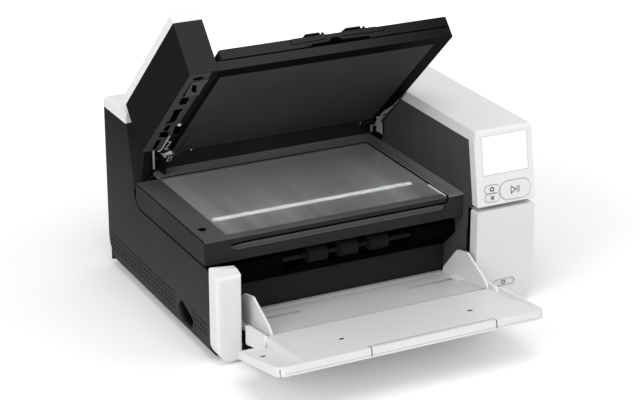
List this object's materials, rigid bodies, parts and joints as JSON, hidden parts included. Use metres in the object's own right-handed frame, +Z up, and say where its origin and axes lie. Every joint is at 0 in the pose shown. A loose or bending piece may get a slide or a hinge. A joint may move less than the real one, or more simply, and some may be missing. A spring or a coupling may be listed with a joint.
{
  "type": "flatbed scanner",
  "caption": "Desktop document scanner with a glass flatbed under a hinged cover, touch-screen column, front input tray, side guides and paper exit.",
  "frame": {"origin": "on the table under the middle of the bounding box, in the pictured pose with the lid open", "axes": "+X to the right seen from the front, +Y to the rear, +Z up"},
  "size_m": [0.456, 0.5368, 0.4208],
  "materials": {
    "white_plastic": "fine satin",
    "tray_plastic": "fine satin",
    "screen": "smooth glossy",
    "black_plastic": "fine texture",
    "soft_black": "fine texture",
    "grey_plastic": "fine texture",
    "metal": "brushed",
    "glass": "clear polished",
    "rubber": "matte"
  },
  "bodies": {
    "base": {"front_left_post": "white_plastic", "lower_front_panel": "white_plastic", "control_bezel": "white_plastic", "column_top_cover": "white_plastic", "rear_top_cover": "white_plastic", "tray_cheek_left": "tray_plastic", "tray_cheek_right": "tray_plastic", "touch_screen": "screen", "left_side_panel": "black_plastic", "right_side_panel": "black_plastic", "rear_panel": "black_plastic", "power_inlet": "black_plastic", "base_tub": "soft_black", "grip_cup_left": "soft_black", "grip_cup_right": "soft_black", "column_inner_wall": "soft_black", "rear_housing": "soft_black", "feed_module": "soft_black", "tray_frame": "soft_black", "post_boss": "grey_plastic", "data_port": "metal", "hinge_bracket_left": "metal", "hinge_bracket_right": "metal", "hinge_pin_left": "metal", "hinge_pin_right": "metal", "foot_front_left": "rubber", "foot_front_right": "rubber", "foot_rear_left": "rubber", "foot_rear_right": "rubber"},
    "lid": {"arm_shell": "soft_black", "arm_top_cover": "white_plastic", "lid_frame": "soft_black", "lid_upper_panel": "soft_black", "backing_plate": "soft_black", "hinge_leaf_left": "metal", "hinge_leaf_right": "metal"},
    "output_stop_left": {"output_stop_left": "black_plastic"},
    "output_stop_right": {"output_stop_right": "black_plastic"},
    "flatbed": {"pod_shell": "soft_black", "glass_frame": "black_plastic", "pod_band": "grey_plastic", "platen_glass": "glass", "guide_rod": "metal", "drive_belt": "rubber"},
    "carriage": {"scan_carriage": "soft_black", "light_bar": "white_plastic"},
    "pulley_front": {"pulley_front": "tray_plastic"},
    "pulley_rear": {"pulley_rear": "tray_plastic"},
    "tray": {"input_tray": "tray_plastic"},
    "extension": {"tray_extension": "tray_plastic"},
    "elevator": {"elevator_plate": "grey_plastic"},
    "guide_left": {"side_guide_left": "tray_plastic"},
    "guide_right": {"side_guide_right": "tray_plastic"},
    "home_key": {"home_button": "tray_plastic"},
    "cancel_key": {"cancel_button": "tray_plastic"},
    "start_key": {"start_button": "tray_plastic"},
    "power_key": {"power_button": "tray_plastic"},
    "feed_roller": {"feed_roller": "rubber"},
    "exit_roller": {"exit_roller": "rubber"}
  },
  "joints": [
    {"name": "lid_hinge", "type": "hinge", "parent": "base", "child": "lid", "pos_m": [0, 0.19393, 0.172], "axis": [-1, 0, 0], "range_deg": [-42.8, 0]},
    {"name": "output_stop_left_fold", "type": "hinge", "parent": "lid", "child": "output_stop_left", "pos_m": [-0.061, -0.00679, 0.37927], "axis": [1, 0, 0], "range_deg": [0, 80]},
    {"name": "output_stop_right_fold", "type": "hinge", "parent": "lid", "child": "output_stop_right", "pos_m": [0.009, -0.00679, 0.37927], "axis": [1, 0, 0], "range_deg": [0, 80]},
    {"name": "flatbed_lift", "type": "hinge", "parent": "base", "child": "flatbed", "pos_m": [-0.045, 0.14473, 0.145], "axis": [-1, 0, 0], "range_deg": [0, 12]},
    {"name": "carriage_slide", "type": "slide", "parent": "flatbed", "child": "carriage", "axis": [0, 1, 0], "range_m": [-0.044, 0.121]},
    {"name": "pulley_front_spin", "type": "hinge", "parent": "flatbed", "child": "pulley_front", "pos_m": [-0.176, -0.02828, 0.13], "axis": [0, 0, 1], "range_deg": [-335, 915]},
    {"name": "pulley_rear_spin", "type": "hinge", "parent": "flatbed", "child": "pulley_rear", "pos_m": [-0.176, 0.13443, 0.13], "axis": [0, 0, 1], "range_deg": [-335, 915]},
    {"name": "tray_fold", "type": "hinge", "parent": "base", "child": "tray", "pos_m": [-0.028, -0.15227, 0.0476], "axis": [-1, 0, 0], "range_deg": [0, 78]},
    {"name": "extension_slide", "type": "slide", "parent": "tray", "child": "extension", "axis": [0, -0.9845, 0.1754], "range_m": [0, 0.06]},
    {"name": "elevator_lift", "type": "slide", "parent": "base", "child": "elevator", "axis": [0, 0, 1], "range_m": [0, 0.025]},
    {"name": "guide_left_slide", "type": "slide", "parent": "elevator", "child": "guide_left", "axis": [1, 0, 0], "range_m": [0, 0.07]},
    {"name": "guide_right_slide", "type": "slide", "parent": "elevator", "child": "guide_right", "axis": [1, 0, 0], "range_m": [-0.07, 0]},
    {"name": "home_press", "type": "slide", "parent": "base", "child": "home_key", "axis": [0, 0.9866, -0.1633], "range_m": [0, 0.001], "stiffness_N_per_m": 500},
    {"name": "cancel_press", "type": "slide", "parent": "base", "child": "cancel_key", "axis": [0, 0.9866, -0.1633], "range_m": [0, 0.001], "stiffness_N_per_m": 500},
    {"name": "start_press", "type": "slide", "parent": "base", "child": "start_key", "axis": [0, 0.9866, -0.1633], "range_m": [0, 0.001], "stiffness_N_per_m": 500},
    {"name": "power_press", "type": "slide", "parent": "base", "child": "power_key", "axis": [0, 1, 0], "range_m": [0, 0.001], "stiffness_N_per_m": 500},
    {"name": "feed_roller_spin", "type": "hinge", "parent": "base", "child": "feed_roller", "pos_m": [-0.02, -0.03728, 0.1], "axis": [1, 0, 0], "continuous": true},
    {"name": "exit_roller_spin", "type": "hinge", "parent": "base", "child": "exit_roller", "pos_m": [-0.02, 0.21673, 0.196], "axis": [1, 0, 0], "continuous": true}
  ],
  "couplings": [
    {"joint": "guide_right_slide", "follows": "guide_left_slide", "ratio": -1},
    {"joint": "pulley_front_spin", "follows": "carriage_slide", "rad_per_m": 131.58},
    {"joint": "pulley_rear_spin", "follows": "carriage_slide", "rad_per_m": 131.58}
  ]
}
